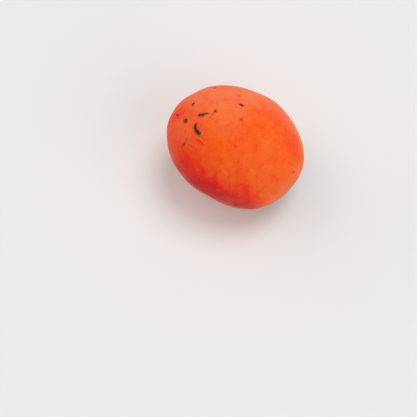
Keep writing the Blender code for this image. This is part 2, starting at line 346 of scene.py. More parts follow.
# The studio. Each light has the direction it comes from, its spread in degrees, strength and colour.
FLOOR_HALF_SIDE = 3.0
LIGHTS = {
    "key": ((0.30, 0.35, 1.25), 28.0, 1.16, (1.0, 0.985, 0.96)),
    "front": ((1.0, -0.7, 0.75), 55.0, 0.71, (1.0, 0.985, 0.96)),
    "side": ((-0.9, 0.55, 0.8), 60.0, 0.58, (1.0, 0.985, 0.97)),
}
# Between these two heights the dome's strength goes from the one to the other.
DOME_HEIGHTS = (0.10, 0.50)
DOME_STRENGTHS = (0.86, 0.45)


# Shape

def body_matrix():
    turn = Matrix.Rotation(HEADING, 4, "Z") @ Matrix.Rotation(math.pi / 2 - LEAN, 4, "Y")
    return Matrix.Translation(BODY_CENTRE) @ turn


BODY = np.array(body_matrix())
AXIS = Vector(BODY[:3, 2])      # from the middle of the body to the blossom end


def to_world(points):
    """Points of the body frame, moved to where they are in the world."""
    return points @ BODY[:3, :3].T + BODY[:3, 3]


def direction(polar, around):
    """Directions in the body frame, by the angle from the blossom end and the angle round the axis."""
    sine = np.sin(polar)
    return np.stack([sine * np.cos(around), sine * np.sin(around), np.cos(polar)], -1)


def bell(value, width, power=2.0):
    """1 where the value is 0, falling to 0 beyond the width."""
    return np.exp(-np.abs(value / width) ** power)


def skin_radius(polar, around):
    """How far the skin is from the middle of the body, along one direction of the body frame."""
    along, across = np.cos(polar), np.sin(polar)
    to_blossom = 0.5 + 0.5 * np.tanh(END_BLEND * along)
    to_stem = 1.0 - to_blossom
    length = BLOSSOM_LENGTH * to_blossom + STEM_LENGTH * to_stem
    underside = (0.5 + 0.5 * np.cos(around)) ** 2
    stem_power = STEM_POWER - UNDERSIDE_POWER_LOSS * underside
    power = BLOSSOM_POWER * to_blossom + stem_power * to_stem
    radius = ((across / GIRTH_RADIUS) ** power + (np.abs(along) / length) ** power) ** (-1.0 / power)
    lobes = np.cos(FRUIT_LOBES * (around - FRUIT_LOBE_TURN))
    radius = radius + FRUIT_LOBE_HEIGHT * lobes * across ** 2 * to_stem

    place = direction(polar, around)
    for from_blossom, turned, spread, height in SWELLINGS:
        middle = direction(math.radians(from_blossom), math.radians(turned))
        apart = np.arccos(np.clip(place @ middle, -1.0, 1.0))
        radius = radius + height * MM * bell(apart, math.radians(spread))

    off_axis = GIRTH_RADIUS * across
    hollow = HOLLOW_DEPTH * bell(off_axis, HOLLOW_RADIUS, HOLLOW_POWER)
    dimple = DIMPLE_DEPTH * bell(off_axis, DIMPLE_RADIUS) - STYLE_HEIGHT * bell(off_axis, STYLE_RADIUS)
    return radius - np.where(along < 0.0, hollow, dimple)


def press_flat(height):
    """Heights with what would be below the floor pressed up to it, over a soft edge."""
    pressed = (height + FLAT_BLEND) ** 2 / (4.0 * FLAT_BLEND)
    return np.where(height <= -FLAT_BLEND, 0.0, np.where(height >= FLAT_BLEND, height, pressed))


def soft_noise(points, size, seed):
    """Smooth noise from -1 to 1 over points in space, with features of the given size."""
    cells = 32
    lattice = np.random.default_rng(seed).uniform(-1.0, 1.0, (cells, cells, cells))
    place = points / size + 0.5 * cells
    low = np.floor(place).astype(int)
    part = place - low
    part = part * part * (3.0 - 2.0 * part)
    total = 0.0
    for corner in np.ndindex(2, 2, 2):
        index = (low + corner) % cells
        weight = np.prod(np.where(corner, part, 1.0 - part), axis=-1)
        total = total + weight * lattice[index[..., 0], index[..., 1], index[..., 2]]
    return total


def mesh_object(name, points, faces, material):
    mesh = bpy.data.meshes.new(name)
    mesh.from_pydata(points.reshape(-1, 3).tolist(), [], faces)
    mesh.validate()
    mesh.shade_smooth()
    mesh.materials.append(material)
    item = bpy.data.objects.new(name, mesh)
    bpy.context.scene.collection.objects.link(item)
    return item


def tube_faces(rows, columns, first=0, flip=False):
    """Quads between rows of points, each row a closed ring of columns."""
    faces = []
    for row in range(rows - 1):
        for column in range(columns):
            beside = (column + 1) % columns
            a = first + row * columns + column
            b = first + row * columns + beside
            quad = (a, b, b + columns, a + columns)
            faces.append(quad[::-1] if flip else quad)
    return faces


def cap_faces(centre, row_start, columns, flip=False):
    """A fan of triangles from a centre point to a ring."""
    faces = []
    for column in range(columns):
        tri = (centre, row_start + column, row_start + (column + 1) % columns)
        faces.append(tri[::-1] if flip else tri)
    return faces


# The camera

def aim_camera():
    """Looks down at the fruit so that it falls where it is in the photograph."""
    away = Vector((0.0, -math.cos(CAMERA_ELEVATION), math.sin(CAMERA_ELEVATION)))
    right = Vector((1.0, 0.0, 0.0))
    up = away.cross(right)
    beside = (FRUIT_PIXEL[0] - PHOTO_MIDDLE) / FOCAL_PIXELS * CAMERA_DISTANCE
    above = (PHOTO_MIDDLE - FRUIT_PIXEL[1]) / FOCAL_PIXELS * CAMERA_DISTANCE
    data = bpy.data.cameras.new("camera")
    data.lens = LENS_MM
    data.sensor_width = SENSOR_MM
    camera = bpy.data.objects.new("camera", data)
    camera.location = BODY_CENTRE + away * CAMERA_DISTANCE - right * beside - up * above
    camera.rotation_mode = "QUATERNION"
    camera.rotation_quaternion = away.to_track_quat("Z", "Y")
    bpy.context.scene.collection.objects.link(camera)
    bpy.context.scene.camera = camera
    return camera.location.copy(), away, right, up


EYE, AWAY, RIGHT, UP = aim_camera()


def sight_line(pixel):
    """The direction from the camera through a pixel of the photograph."""
    beside = (pixel[0] - PHOTO_MIDDLE) / FOCAL_PIXELS
    above = (PHOTO_MIDDLE - pixel[1]) / FOCAL_PIXELS
    return (RIGHT * beside + UP * above - AWAY).normalized()


def on_skin(pixel, skin):
    """The point of the skin behind a pixel of the photograph."""
    hit = skin.ray_cast(EYE, sight_line(pixel))[0]
    if hit is None:
        raise ValueError(f"no skin behind pixel {pixel}")
    return hit


# The skin

def skin_grid():
    """Polar angle and angle around the axis of every point, with rings crowded at both ends."""
    polar = np.linspace(0.0, math.pi, SKIN_RINGS + 1)[1:-1]
    polar = polar - RING_CROWDING * np.sin(2.0 * polar)
    around = np.linspace(0.0, math.tau, SKIN_COLUMNS, endpoint=False)
    return np.meshgrid(polar, around, indexing="ij")


def skin_points(polar, around, marks=None):
    """Points of the skin with its fine relief."""
    place = direction(polar, around)
    radius = skin_radius(polar, around)
    points = place * radius[..., None]
    relief = 0.0
    for height, size, seed, shift in SKIN_SWELLS:
        relief = relief + height * MM * (soft_noise(points, size * MM, seed) + shift)
    # Puckers that run out from under the calyx.
    off_axis = GIRTH_RADIUS * np.sin(polar)
    pleat_ring = bell(off_axis - PLEAT_RING_RADIUS, PLEAT_RING_WIDTH)
    near_stem = np.where(polar > math.pi / 2, pleat_ring, 0.0)
    pleats = np.sin(19.0 * around + 2.0 * np.sin(4.0 * around)) + 0.6 * np.sin(31.0 * around + 1.0)
    relief = relief + PLEAT_HEIGHT * near_stem * pleats
    # Fine rings of growth cracks round the style.
    near_style = np.where(polar < math.pi / 2, bell(off_axis, STYLE_RINGS_RADIUS), 0.0)
    relief = relief + STYLE_RING_HEIGHT * near_style * np.sin(off_axis / STYLE_RING_STEP)
    points = to_world(points + place * relief[..., None])
    if marks is not None:
        points = points + to_direction(place) * marks(points)[..., None]
    points[..., 2] = press_flat(points[..., 2])
    return points


def to_direction(place):
    """Directions of the body frame, turned to how they point in the world."""
    return place @ BODY[:3, :3].T


def skin_mesh_data(marks=None):
    polar, around = skin_grid()
    rows = skin_points(polar, around, marks).reshape(-1, 3)
    blossom = skin_points(np.array([0.0]), np.array([0.0]), marks)
    stem = skin_points(np.array([math.pi]), np.array([0.0]), marks)
    points = np.concatenate([rows, blossom, stem])
    faces = tube_faces(SKIN_RINGS - 1, SKIN_COLUMNS, flip=True)
    last = (SKIN_RINGS - 2) * SKIN_COLUMNS
    faces += cap_faces(len(rows), 0, SKIN_COLUMNS)
    faces += cap_faces(len(rows) + 1, last, SKIN_COLUMNS, flip=True)
    return points, faces


def segment_distance(points, start, end):
    """How far each point is from a straight stretch."""
    start, end = np.array(start), np.array(end)
    along = end - start
    share = np.clip(((points - start) @ along) / max(along @ along, 1e-12), 0.0, 1.0)
    return np.linalg.norm(points - start - share[..., None] * along, axis=-1)


def mark_relief(scars, creases):
    """A function that gives the height of sunken scars and shallow creases at points of the skin."""
    def relief(points):
        height = np.zeros(points.shape[:-1])
        for start, end, width, dark in scars:
            apart = segment_distance(points, start, end)
            height -= SCAR_DEPTH * dark * bell(apart, 0.6 * width, 4.0)
            height += SCAR_LIP_HEIGHT * dark * bell(apart - 0.95 * width, 0.4 * width)
        for start, end, depth in creases:
            apart = segment_distance(points, start, end)
            height -= depth * bell(apart, CREASE_WIDTH)
            height += CREASE_LIP_SHARE * depth * bell(apart - 2.2 * CREASE_WIDTH, CREASE_WIDTH)
        return height
    return relief


def pixel_size():
    """How wide a pixel of the photograph is on the fruit."""
    return CAMERA_DISTANCE / FOCAL_PIXELS


def seen_marks(listed, skin):
    """The marks of a list as two ends on the skin, half a width, and strength."""
    found = []
    for start, end, width, strength in listed:
        half = 0.5 * width * pixel_size()
        found.append((on_skin(start, skin), on_skin(end, skin), half, strength))
    return found


def hidden_scars():
    """Scars on the sides that the photograph doesn't show, of the same kinds and in like numbers."""
    draw = np.random.default_rng(HIDDEN_SCAR_SEED)
    found = []
    while len(found) < HIDDEN_SCARS:
        polar = math.acos(draw.uniform(*HIDDEN_SCAR_SPAN))
        around = draw.uniform(0.0, math.tau)
        turn = draw.uniform(0.0, math.tau)
        is_long = draw.uniform() < LONG_SCAR_SHARE
        length = draw.uniform(*(LONG_SCAR_LENGTHS if is_long else DOT_SCAR_LENGTHS)) * MM
        half = draw.uniform(*(LONG_SCAR_HALF_WIDTHS if is_long else DOT_SCAR_HALF_WIDTHS)) * MM
        dark = draw.uniform(*HIDDEN_SCAR_DARKNESS)
        here = Vector(to_direction(direction(polar, around)))
        faces_camera = here.dot(AWAY) > -0.05
        if faces_camera:
            continue
        step = length / GIRTH_RADIUS
        ends = []
        for side in (-0.5, 0.5):
            p = polar + side * step * math.cos(turn)
            a = around + side * step * math.sin(turn) / math.sin(polar)
            point = skin_points(np.array([p]), np.array([a]))[0]
            ends.append(Vector(point))
        found.append((ends[0], ends[1], half, dark))
    return found


def wavered(points, size, amount, seed):
    """Points pushed about by smooth noise, which bends whatever is measured from them."""
    moved = points.copy()
    for axis in range(3):
        moved[:, axis] += amount * soft_noise(points, size, seed + axis)
    return moved


def soft_marks(points, marks):
    """Marks with soft edges, as a value at each point."""
    total = np.zeros(len(points))
    wavering = wavered(points, MARK_WAVE, MARK_WAVER, 61)
    for start, end, half, strength in marks:
        is_dot = (end - start).length < SHORT_MARK
        apart = segment_distance(points if is_dot else wavering, start, end)
        total = np.maximum(total, strength * bell(apart, 1.15 * half, 2.0))
    return total


def skin_fields(points, skin, scars):
    """Where the marks, the patches of colour, the painted shadow and the painted sheen are, as values
    at points of the skin.
    """
    inside_scar = np.full(len(points), FAR_FROM_SCARS)
    scar_dark = np.zeros(len(points))
    bent = wavered(points, SCAR_WAVE, SCAR_WAVER, 71)
    for start, end, half, dark in scars:
        inside = half - segment_distance(bent, start, end)
        scar_dark = np.where(inside > inside_scar, dark, scar_dark)
        inside_scar = np.maximum(inside, inside_scar)

    wavering = wavered(points, STRETCH_WAVE, STRETCH_WAVER, 51)
    stretches = []
    # Blush and crimson stretches, partly painted shadow, then the pale ones, a painted sheen.
    for listed in (BLUSH_AND_SHADOW_STRETCHES, CRIMSON_AND_SHADOW_STRETCHES, PAINTED_SHEEN_STRETCHES):
        share = np.zeros(len(points))
        for start, end, half, strength in listed:
            apart = segment_distance(wavering, on_skin(start, skin), on_skin(end, skin))
            share = np.maximum(share, strength * bell(apart, half * MM))
        stretches.append(share)
    return {
        "scar": inside_scar / MM,
        "scar_dark": scar_dark,
        "red_mark": soft_marks(points, seen_marks(RED_MARKS, skin)),
        "yellow_mark": soft_marks(points, seen_marks(YELLOW_MARKS, skin)),
        "blush_and_shadow_stretch": stretches[0],
        "crimson_and_shadow_stretch": stretches[1],
        "painted_sheen_stretch": stretches[2],
    }


def add_attributes(item, fields):
    for name, values in fields.items():
        attribute = item.data.attributes.new(name, "FLOAT", "POINT")
        attribute.data.foreach_set("value", values)


# Shader nodes

class Shader:
    """Shorthand for building one material's nodes."""

    def __init__(self, name):
        self.material = bpy.data.materials.new(name)
        self.material.use_nodes = True
        self.tree = self.material.node_tree
        self.principled = self.tree.nodes["Principled BSDF"]
        self.place = self.node("ShaderNodeTexCoord").outputs["Object"]

    def node(self, kind, inputs=(), **settings):
        made = self.tree.nodes.new(kind)
        for key, value in settings.items():
            setattr(made, key, value)
        for key, value in dict(inputs).items():
            self.feed(made.inputs[key], value)
        return made

    def feed(self, socket, value):
        if isinstance(value, bpy.types.NodeSocket):
            self.tree.links.new(value, socket)
        elif socket.type == "RGBA":
            socket.default_value = (*value, 1.0)
        else:
            socket.default_value = value

    def math(self, operation, first, second=0.0, clamp=False):
        made = self.node("ShaderNodeMath", {0: first, 1: second}, operation=operation, use_clamp=clamp)
        return made.outputs[0]

    def times(self, first, second):
        return self.math("MULTIPLY", first, second)

    def plus(self, first, second):
        return self.math("ADD", first, second)

    def vector(self, operation, first, second=(0.0, 0.0, 0.0), out=0):
        made = self.node("ShaderNodeVectorMath", {0: first, 1: second}, operation=operation)
        return made.outputs[out]

    def scaled(self, vector, scale):
        made = self.node("ShaderNodeVectorMath", {0: vector, "Scale": scale}, operation="SCALE")
        return made.outputs[0]

    def mix(self, share, first, second):
        made = self.node("ShaderNodeMix", data_type="RGBA")
        self.feed(made.inputs["Factor"], share)
        self.feed(made.inputs[6], first)
        self.feed(made.inputs[7], second)
        return made.outputs[2]

    def ramp(self, value, low, high, to_low=0.0, to_high=1.0):
        """A smooth step of value from low to high."""
        made = self.node("ShaderNodeMapRange", interpolation_type="SMOOTHSTEP")
        for key, item in zip((0, 1, 2, 3, 4), (value, low, high, to_low, to_high)):
            self.feed(made.inputs[key], item)
        return made.outputs[0]

    def noise(self, size, detail=2.0, roughness=0.5, place=None, distortion=0.0, out="Fac"):
        inputs = {
            "Vector": self.place if place is None else place,
            "Scale": 1.0 / size,
            "Detail": detail,
            "Roughness": roughness,
            "Distortion": distortion,
        }
        return self.node("ShaderNodeTexNoise", inputs).outputs[out]

    def cells(self, size, **settings):
        inputs = {"Vector": self.place, "Scale": 1.0 / size}
        return self.node("ShaderNodeTexVoronoi", inputs, **settings).outputs

    def wobbled(self, size, amount):
        """The place, pushed about by noise, for ragged outlines."""
        centred = self.vector("SUBTRACT", self.noise(size, out="Color"), (0.5, 0.5, 0.5))
        return self.vector("ADD", self.place, self.scaled(centred, amount))

    def attribute(self, name):
        """A value that the mesh carries at each of its points."""
        return self.node("ShaderNodeAttribute", attribute_name=name).outputs["Fac"]

    def bump(self, height, depth, normal=None):
        made = self.node("ShaderNodeBump", {"Height": height, "Distance": depth, "Strength": 1.0})
        if normal is not None:
            self.feed(made.inputs["Normal"], normal)
        return made.outputs[0]

    def from_axis(self, middle, axis):
        """How far along an axis the place is, and its offset square to the axis."""
        centred = self.vector("SUBTRACT", self.place, middle)
        height = self.vector("DOT_PRODUCT", centred, axis, out=1)
        return height, self.vector("SUBTRACT", centred, self.scaled(axis, height))

    def surface(self, colour, rough, normal):
        for name, value in (("Base Color", colour), ("Roughness", rough), ("Normal", normal)):
            self.feed(self.principled.inputs[name], value)


def ripe_colour(shader, drift, painted_sheen):
    """Orange that drifts to a deeper orange, to blush at the blossom end and to yellow by the calyx,
    and pales under the painted sheen.
    """
    slow = shader.ramp(shader.noise(17.0 * MM, 2.0), 0.35, 0.68)
    colour = shader.mix(slow, ORANGE, DEEP_ORANGE)
    stem_side = shader.ramp(drift, -15.0 * MM, -31.0 * MM, 0.0, 0.85)
    colour = shader.mix(stem_side, colour, YELLOW_ORANGE)
    blossom_side = shader.ramp(drift, 22.0 * MM, 42.0 * MM, 0.0, 0.30)
    colour = shader.mix(blossom_side, colour, BLUSH_AND_SHADOW)
    # Paler where the painted sheen lies.
    return shader.mix(shader.times(painted_sheen, 0.55), colour, PALE_ORANGE)


def streak_noise(shader, height, flat):
    """Noise drawn out from end to end of the fruit."""
    spoke = shader.vector("NORMALIZE", flat)
    squeezed = shader.scaled(AXIS, shader.times(height, 0.20))
    drawn_out = shader.vector("ADD", shader.scaled(spoke, GIRTH_RADIUS), squeezed)
    return shader.noise(2.0 * MM, 4.0, 0.62, drawn_out, 0.6)


def grained(shader, colour, streaks, mottle, flat):
    """Faint streaks, which fade towards both ends, mottling, and freckles."""
    off_axis = shader.vector("LENGTH", flat, out=1)
    away_from_ends = shader.ramp(off_axis, 8.0 * MM, 24.0 * MM)
    reddish = shader.ramp(streaks, 0.53, 0.78, 0.0, 0.42)
    colour = shader.mix(shader.times(reddish, away_from_ends), colour, VEIN_RED)
    yellowish = shader.ramp(streaks, 0.47, 0.24, 0.0, 0.22)
    colour = shader.mix(shader.times(yellowish, away_from_ends), colour, YELLOW)
    colour = shader.mix(shader.ramp(mottle, 0.50, 0.70, 0.0, 0.38), colour, PALE_ORANGE)
    colour = shader.mix(shader.ramp(mottle, 0.50, 0.30, 0.0, 0.46), colour, VEIN_RED)
    freckle = shader.noise(0.9 * MM, 3.0, 0.6)
    colour = shader.mix(shader.ramp(freckle, 0.52, 0.72, 0.0, 0.42), colour, VEIN_RED)
    return shader.mix(shader.ramp(freckle, 0.48, 0.28, 0.0, 0.26), colour, YELLOW)


def flushed_and_shadowed(shader, colour, streaks, mottle):
    """Stretches of blush and crimson, partly real and partly painted shadow at the lower left, broken
    up by the streaks, the mottling and wide patches.
    """
    patchy = shader.noise(11.0 * MM, 3.0, 0.6)
    broken = shader.ramp(streaks, 0.32, 0.68, -0.10, 0.10)
    broken = shader.plus(broken, shader.ramp(mottle, 0.30, 0.70, 0.22, -0.22))
    broken = shader.plus(broken, shader.ramp(patchy, 0.30, 0.70, -0.18, 0.18))
    # Blush and crimson, laid on thickly at the lower left as painted shadow.
    for name, shade in (("blush_and_shadow_stretch", BLUSH_AND_SHADOW), ("crimson_and_shadow_stretch", CRIMSON_AND_SHADOW)):
        share = shader.attribute(name)
        share = shader.math("ADD", share, shader.times(share, broken), clamp=True)
        colour = shader.mix(share, colour, shade)
    return colour


def dotted(shader, colour, drift):
    """Pale lenticels, of which a few have turned corky brown, most of them towards the calyx."""
    dots = shader.cells(1.9 * MM)
    chosen = shader.node("ShaderNodeSeparateColor", {0: dots["Color"]}).outputs
    pale_share = shader.ramp(chosen[0], 0.35, 0.9, 0.0, 0.45)
    pale = shader.times(shader.ramp(dots["Distance"], 0.17, 0.06), pale_share)
    colour = shader.mix(pale, colour, YELLOW)
    corky_from = shader.ramp(drift, -28.0 * MM, 5.0 * MM, 0.72, 0.97)
    corky = shader.ramp(chosen[1], corky_from, 1.0)
    corky = shader.times(shader.ramp(dots["Distance"], 0.20, 0.10), corky)
    return shader.mix(shader.times(corky, 0.85), colour, CORK), corky


def scarred_colour(shader, colour):
    """Red and yellow marks, and ragged dark scars with a red rim."""
    colour = shader.mix(shader.attribute("yellow_mark"), colour, YELLOW)
    colour = shader.mix(shader.attribute("red_mark"), colour, RED)
    inside = shader.attribute("scar")
    strength = shader.attribute("scar_dark")
    rim = shader.times(shader.ramp(inside, -1.1, 0.1, 0.0, 0.45), strength)
    colour = shader.mix(rim, colour, SCAR_RIM)
    ragged = shader.ramp(shader.noise(0.7 * MM, 3.0, 0.65), 0.2, 0.8, -0.38, 0.38)
    in_scar = shader.ramp(shader.plus(inside, ragged), -0.20, 0.16)
    scarred = shader.times(in_scar, strength)
    return shader.mix(scarred, colour, SCAR), scarred


def style_share(shader):
    """Where the dry tip of the style is."""
    style_tip = Vector(to_world(direction(0.0, 0.0) * (BLOSSOM_LENGTH + 0.4 * MM)))
    apart = shader.vector("DISTANCE", shader.wobbled(0.8 * MM, 0.5 * MM), style_tip, out=1)
    return shader.ramp(apart, 1.25 * MM, 0.65 * MM)


def skin_normal(shader, corky, scarred):
    """Relief too fine for the mesh: puckers of the wax, pores, corky dots, and the scars' crust."""
    peel = shader.noise(1.9 * MM, 3.0, 0.55)
    normal = shader.bump(peel, 0.040 * MM)
    pores = shader.noise(0.55 * MM, 3.0, 0.6)
    normal = shader.bump(pores, 0.026 * MM, normal)
    normal = shader.bump(corky, 0.05 * MM, normal)
    crust = shader.times(scarred, shader.noise(0.35 * MM, 3.0, 0.7))
    return shader.bump(crust, 0.12 * MM, normal)


def skin_material():
    shader = Shader("persimmon_skin")
    height, flat = shader.from_axis(BODY_CENTRE, AXIS)
    wavering = shader.vector("SUBTRACT", shader.wobbled(11.0 * MM, 9.0 * MM), BODY_CENTRE)
    drift = shader.vector("DOT_PRODUCT", wavering, AXIS, out=1)
    # Where the painted sheen lies.
    painted_sheen = shader.attribute("painted_sheen_stretch")
    streaks = streak_noise(shader, height, flat)
    mottle_place = shader.wobbled(5.0 * MM, 2.0 * MM)
    mottle = shader.noise(4.2 * MM, 5.0, 0.62, mottle_place)
    colour = ripe_colour(shader, drift, painted_sheen)
    colour = grained(shader, colour, streaks, mottle, flat)
    colour = flushed_and_shadowed(shader, colour, streaks, mottle)
    colour, corky = dotted(shader, colour, drift)

    # A thin uneven bloom of wax, which also dulls the skin a little, and a painted sheen over the pale
    # stretches.
    waxy = shader.ramp(shader.noise(9.0 * MM, 5.0, 0.66), 0.45, 0.75)
    waxy = shader.times(waxy, 0.05)
    bloom_and_sheen = shader.plus(waxy, shader.times(painted_sheen, 0.20))
    colour = shader.mix(bloom_and_sheen, colour, BLOOM_AND_SHEEN)

    colour, scarred = scarred_colour(shader, colour)
    style = style_share(shader)
    colour = shader.mix(style, colour, STYLE)
    dark = shader.math("MAXIMUM", scarred, style)
    rough = shader.ramp(shader.noise(6.0 * MM, 4.0, 0.6), 0.3, 0.7, 0.37, 0.47)
    rough = shader.plus(rough, waxy)
    rough = shader.plus(rough, shader.times(dark, 0.3))

    shader.surface(colour, rough, skin_normal(shader, corky, scarred))
    sockets = shader.principled.inputs
    sockets["IOR"].default_value = 1.40
    sockets["Specular IOR Level"].default_value = 0.15
    sockets["Subsurface Weight"].default_value = 0.12
    sockets["Subsurface Radius"].default_value = (1.0, 0.18, 0.06)
    sockets["Subsurface Scale"].default_value = 2.0 * MM
    return shader.material


def make_fruit():
    points, faces = skin_mesh_data()
    skin = BVHTree.FromPolygons(points.tolist(), faces)
    scars = seen_marks(SCARS, skin) + hidden_scars()
    creases = []
    for start, end, depth in CREASES:
        creases.append((on_skin(start, skin), on_skin(end, skin), depth * MM))
    points, faces = skin_mesh_data(mark_relief(scars, creases))
    fruit = mesh_object("persimmon_fruit", points, faces, skin_material())
    add_attributes(fruit, skin_fields(points, skin, scars))
    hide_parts("fruit")
    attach(fruit, "root")


# The calyx

def lobe_places(around):
    """For each angle round the axis: its lobe, degrees from that lobe's middle, and its half width."""
    turned = np.degrees(around)
    middles = np.array(LOBE_TURN)
    offsets = (turned[..., None] - middles + 180.0) % 360.0 - 180.0
    lobe = np.abs(offsets).argmin(-1)
    offset = np.take_along_axis(offsets, lobe[..., None], -1)[..., 0]
    side = np.where(offset > 0, 1, -1)
    other = (lobe + side) % len(LOBE_TURN)
    half = ((middles[other] - middles[lobe]) * side % 360.0) / 2.0
    return lobe, offset, half


def wavy(around, seed, counts):
    """A sum of sine waves round the axis, from -1 to 1 or so."""
    draw = np.random.default_rng(seed)
    total = 0.0
    for count in counts:
        total = total + np.sin(count * around + draw.uniform(0.0, math.tau)) / math.sqrt(len(counts))
    return total


def calyx_reach(around):
    """How far from the axis the calyx's ragged edge is."""
    lobe, offset, half = lobe_places(around)
    across = np.minimum(np.abs(offset) / half, 1.0)
    fullness = (1.0 - across ** LOBE_POWER) ** LOBE_ROUNDNESS
    tips = np.array(LOBE_REACH)[lobe] * MM
    reach = NOTCH_REACH + (tips - TIP_POINT - NOTCH_REACH) * fullness
    reach = reach + TIP_POINT * bell(offset, TIP_POINT_WIDTH)
    ragged = np.sin(17.0 * around + 0.6) + 0.6 * np.sin(29.0 * around + 2.1)
    reach = reach + RAGGED_EDGE * ragged * fullness
    # Nibbled edge: fine teeth, and a few tears.
    reach = reach + NIBBLE_DEPTH * wavy(around, 21, (47, 61, 83, 107, 131)) * fullness
    tears = np.clip(wavy(around, 22, (23, 31, 43)) - TEAR_LEVEL, 0.0, None)
    reach = reach - TEAR_DEPTH * tears * fullness
    underside = (0.5 + 0.5 * np.cos(around)) ** 4
    return reach * (1.0 - CRUSHED_SHARE * underside)


def vein_relief(off_axis, reach, around):
    """Ridges of the veins: a fan in each lobe that forks outwards."""
    lobe, offset, half = lobe_places(around)
    share = off_axis / reach
    fan = offset / half
    height = 0.0
    for slope, strength in VEIN_FAN:
        line = slope * share ** 0.6 + 0.05 * np.sin(9.0 * share + 3.0 * lobe + 8.0 * slope)
        apart = (fan - line) * half * math.pi / 180.0 * off_axis
        height = height + strength * bell(apart, VEIN_HALF_WIDTH) * np.clip(share / 0.25, 0.0, 1.0)
    return height


def calyx_lift(off_axis, reach, around, points):
    """How far the calyx's inner face stands off the skin."""
    lobe, offset, _ = lobe_places(around)
    outward = np.clip((off_axis - NOTCH_REACH) / (reach - NOTCH_REACH + MM), 0.0, None)
    curl = np.array(LOBE_CURL)[lobe] * MM * outward ** 1.7 * bell(offset, CURL_WIDTH)
    ruffle = 0.5 + 0.5 * np.sin(RUFFLES * around + 1.9 * np.sin(3.0 * around) + 5.0 * outward)
    middle = bell(off_axis - 0.62 * reach, 0.26 * reach) * (1.0 - bell(off_axis, CALYX_DISC, 4.0))
    lift = CALYX_GAP + curl + RUFFLE_HEIGHT * ruffle * middle
    # Crumpling of the dry leaf and its rolled margin, which the underside has no room for.
    free = np.clip((off_axis - FREE_FROM) / FREE_OVER, 0.0, 1.0)
    room = 1.0 - UNDERSIDE_CRUMPLE_LOSS * (0.5 + 0.5 * np.cos(around)) ** 2
    crumple = CRUMPLE_HEIGHT * (soft_noise(points, 3.2 * MM, 31) + 0.25)
    crumple += FINE_CRUMPLE_HEIGHT * (soft_noise(points, 1.3 * MM, 32) + 0.2)
    margin = np.clip((off_axis / reach - ROLL_START) / (1.0 - ROLL_START), 0.0, 1.0) ** 2
    rolled = ROLL_HEIGHT * margin * (0.35 + 0.65 * wavy(around, 33, (5, 9, 14)))
    extra = MOST_CRUMPLE * np.tanh((crumple + rolled) / MOST_CRUMPLE)
    return lift + free * room * np.clip(extra, LEAST_CRUMPLE, None)


def calyx_sheet():
    """The calyx's inner face in rows from the middle out: points, outward directions, shares, veins."""
    share = (np.arange(1, LEAF_RINGS + 1) / LEAF_RINGS) ** 0.9
    around = np.linspace(0.0, math.tau, LEAF_COLUMNS, endpoint=False)
    share, around = np.meshgrid(share, around, indexing="ij")
    reach = calyx_reach(around)
    off_axis = reach * share
    polar = math.pi - np.arctan2(off_axis, CALYX_SEAT)
    place = direction(polar, around)
    points = place * skin_radius(polar, around)[..., None]
    lift = calyx_lift(off_axis, reach, around, points)
    veins = vein_relief(off_axis, reach, around)
    return to_world(points + place * lift[..., None]), to_direction(place), share, veins


def grid_normals(points, outward):
    """Directions square to a grid whose rows are closed rings."""
    along_rows = np.roll(points, -1, 1) - np.roll(points, 1, 1)
    across_rows = np.gradient(points, axis=0)
    normals = np.cross(along_rows, across_rows)
    normals /= np.linalg.norm(normals, axis=-1, keepdims=True) + 1e-12
    facing = np.sign((normals * outward).sum(-1, keepdims=True))
    return normals * np.where(facing == 0, 1.0, facing)


def leaf_material():
    shader = Shader("dry_calyx")
    flat = shader.from_axis(BODY_CENTRE, AXIS)[1]
    off_axis = shader.vector("LENGTH", flat, out=1)

    blotch = shader.noise(4.0 * MM, 4.0, 0.6, shader.wobbled(2.0 * MM, 1.5 * MM))
    colour = shader.mix(shader.ramp(blotch, 0.38, 0.66), LEAF_DARK, LEAF_BROWN)
    streak = shader.noise(1.1 * MM, 4.0, 0.65)
    colour = shader.mix(shader.ramp(streak, 0.50, 0.74, 0.0, 0.75), colour, LEAF_PINK)
    raised = shader.attribute("ridge")
    colour = shader.mix(shader.times(raised, 0.55), colour, LEAF_PINK)
    patchy = shader.ramp(shader.noise(1.8 * MM, 3.0), 0.35, 0.6)
    worn = shader.times(shader.attribute("edge"), patchy)
    colour = shader.mix(shader.times(worn, 0.85), colour, LEAF_TAN)
    dusty = shader.ramp(shader.noise(0.8 * MM, 4.0, 0.7), 0.58, 0.72, 0.0, 0.5)
    colour = shader.mix(dusty, colour, LEAF_GREY)
    woody = shader.ramp(off_axis, 6.5 * MM, 4.0 * MM)
    colour = shader.mix(shader.times(woody, 0.6), colour, WOOD)

    grain = shader.noise(0.30 * MM, 4.0, 0.65)
    normal = shader.bump(grain, 0.07 * MM)
    net = shader.cells(1.1 * MM, feature="DISTANCE_TO_EDGE")["Distance"]
    normal = shader.bump(shader.ramp(net, 0.0, 0.22), -0.05 * MM, normal)

    shader.surface(colour, shader.ramp(streak, 0.3, 0.7, 0.62, 0.82), normal)
    shader.principled.inputs["Specular IOR Level"].default_value = 0.4
    return shader.material


def leaf_faces():
    """Faces of the leaf's inner side, its outer side and the rim between them."""
    count = LEAF_RINGS * LEAF_COLUMNS
    faces = tube_faces(LEAF_RINGS, LEAF_COLUMNS, flip=True)
    faces += tube_faces(LEAF_RINGS, LEAF_COLUMNS, first=count)
    faces += cap_faces(2 * count, 0, LEAF_COLUMNS)
    faces += cap_faces(2 * count + 1, count, LEAF_COLUMNS, flip=True)
    rim = (LEAF_RINGS - 1) * LEAF_COLUMNS
    for column in range(LEAF_COLUMNS):
        beside = (column + 1) % LEAF_COLUMNS
        faces.append((rim + column, rim + beside, count + rim + beside, count + rim + column))
    return faces


